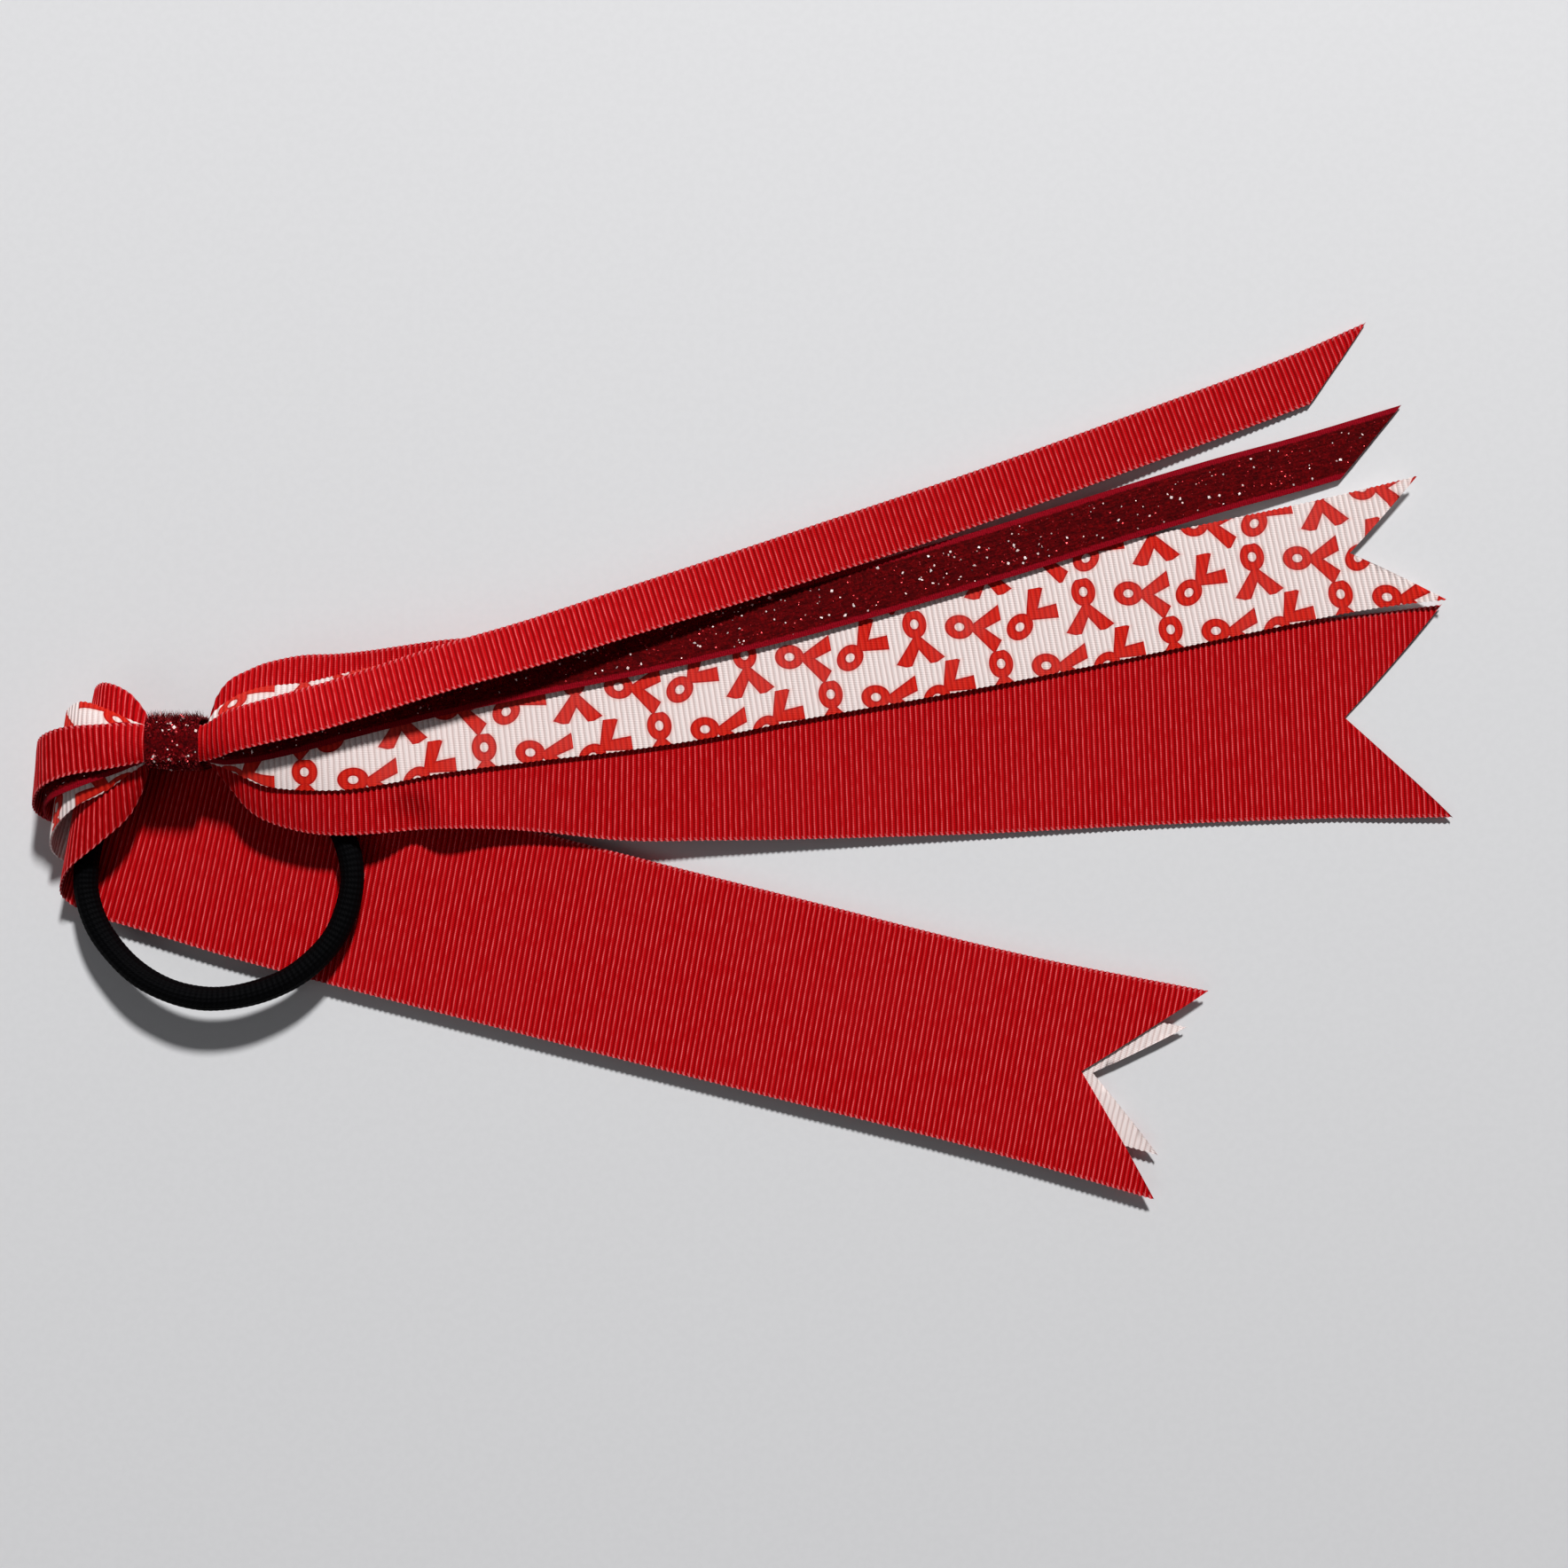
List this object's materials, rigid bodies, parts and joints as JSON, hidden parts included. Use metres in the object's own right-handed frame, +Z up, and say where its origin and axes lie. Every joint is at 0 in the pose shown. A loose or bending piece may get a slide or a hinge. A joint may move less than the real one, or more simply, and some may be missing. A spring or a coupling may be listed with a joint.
{
  "type": "cheer hair bow",
  "caption": "Streamer hair bow of stacked grosgrain and glitter ribbons, pinched and wrapped round a black hair elastic, with notched and slanted tails.",
  "frame": {"origin": "middle of the bow's bounding box, on the table under it", "axes": "+X along the streamers from the knot to their tips, +Z up from the table, +Y across the streamers toward the narrow one"},
  "size_m": [0.27, 0.1677, 0.0185],
  "materials": {
    "red_grosgrain_wide": "ribbed grosgrain, soft sheen on the rib crests, heat-sealed V-notched ends",
    "red_grosgrain_narrow": "ribbed grosgrain, soft sheen on the rib crests, heat-sealed slanted ends",
    "printed_grosgrain": "white ribbed grosgrain with small orange-red crossed-loop symbols on the outer face, plain reverse",
    "glitter_velvet": "dark red velvet with metallic tinsel flecks and plain red edges",
    "wrap_velvet": "dark red glitter velvet wound round the knot",
    "cotton_thread": "waxed sewing thread",
    "hot_melt_glue": "cloudy hot-melt glue",
    "black_braid": "tight matt braided elastic cover",
    "latex_core": "plain rubber strand",
    "bonded_joint": "bonded and glued ends of the elastic"
  },
  "bodies": {
    "knot": {"wide_loop": "red_grosgrain_wide", "print_loop": "printed_grosgrain", "glitter_loop": "glitter_velvet", "narrow_loop": "red_grosgrain_narrow", "centre_wrap": "wrap_velvet", "cinch_thread": "cotton_thread", "glue_dab": "hot_melt_glue"},
    "hair_tie": {"hair_tie_sleeve": "black_braid", "hair_tie_core": "latex_core", "hair_tie_joint": "bonded_joint"},
    "wide_front": {"wide_front_streamer": "red_grosgrain_wide"},
    "print_front": {"print_front_streamer": "printed_grosgrain"},
    "glitter_front": {"glitter_front_streamer": "glitter_velvet"},
    "narrow_front": {"narrow_front_streamer": "red_grosgrain_narrow"},
    "wide_back": {"wide_back_streamer": "red_grosgrain_wide"},
    "print_back": {"print_back_streamer": "printed_grosgrain"},
    "glitter_back": {"glitter_back_streamer": "glitter_velvet"},
    "narrow_back": {"narrow_back_streamer": "red_grosgrain_narrow"}
  },
  "joints": [
    {"name": "wide_front_lift", "type": "hinge", "parent": "knot", "child": "wide_front", "pos_m": [-0.1009, 0.0018, 0.0153], "axis": [0, -1, 0], "range_deg": [0, 40]},
    {"name": "print_front_lift", "type": "hinge", "parent": "knot", "child": "print_front", "pos_m": [-0.1009, 0.0018, 0.0153], "axis": [0, -1, 0], "range_deg": [0, 48]},
    {"name": "glitter_front_lift", "type": "hinge", "parent": "knot", "child": "glitter_front", "pos_m": [-0.1009, 0.0018, 0.0153], "axis": [0, -1, 0], "range_deg": [0, 56]},
    {"name": "narrow_front_lift", "type": "hinge", "parent": "knot", "child": "narrow_front", "pos_m": [-0.1009, 0.0018, 0.0153], "axis": [0, -1, 0], "range_deg": [0, 64]},
    {"name": "wide_back_unfold", "type": "hinge", "parent": "knot", "child": "wide_back", "pos_m": [-0.1132, -0.0145, 0], "axis": [0.2756, 0.9613, 0], "range_deg": [0, 90]},
    {"name": "print_back_unfold", "type": "hinge", "parent": "knot", "child": "print_back", "pos_m": [-0.1132, -0.0145, 0], "axis": [0.2756, 0.9613, 0], "range_deg": [0, 99]},
    {"name": "glitter_back_unfold", "type": "hinge", "parent": "knot", "child": "glitter_back", "pos_m": [-0.1132, -0.0145, 0], "axis": [0.2756, 0.9613, 0], "range_deg": [0, 108]},
    {"name": "narrow_back_unfold", "type": "hinge", "parent": "knot", "child": "narrow_back", "pos_m": [-0.1132, -0.0145, 0], "axis": [0.2756, 0.9613, 0], "range_deg": [0, 117]},
    {"name": "hair_tie_swing", "type": "hinge", "parent": "knot", "child": "hair_tie", "pos_m": [-0.1062, 0.0018, 0.0082], "axis": [-1, 0, 0], "range_deg": [0, 4]}
  ],
  "couplings": [
    {"joint": "print_front_lift", "follows": "wide_front_lift", "ratio": 1.2},
    {"joint": "glitter_front_lift", "follows": "wide_front_lift", "ratio": 1.4},
    {"joint": "narrow_front_lift", "follows": "wide_front_lift", "ratio": 1.6},
    {"joint": "print_back_unfold", "follows": "wide_back_unfold", "ratio": 1.1},
    {"joint": "glitter_back_unfold", "follows": "wide_back_unfold", "ratio": 1.2},
    {"joint": "narrow_back_unfold", "follows": "wide_back_unfold", "ratio": 1.3}
  ]
}
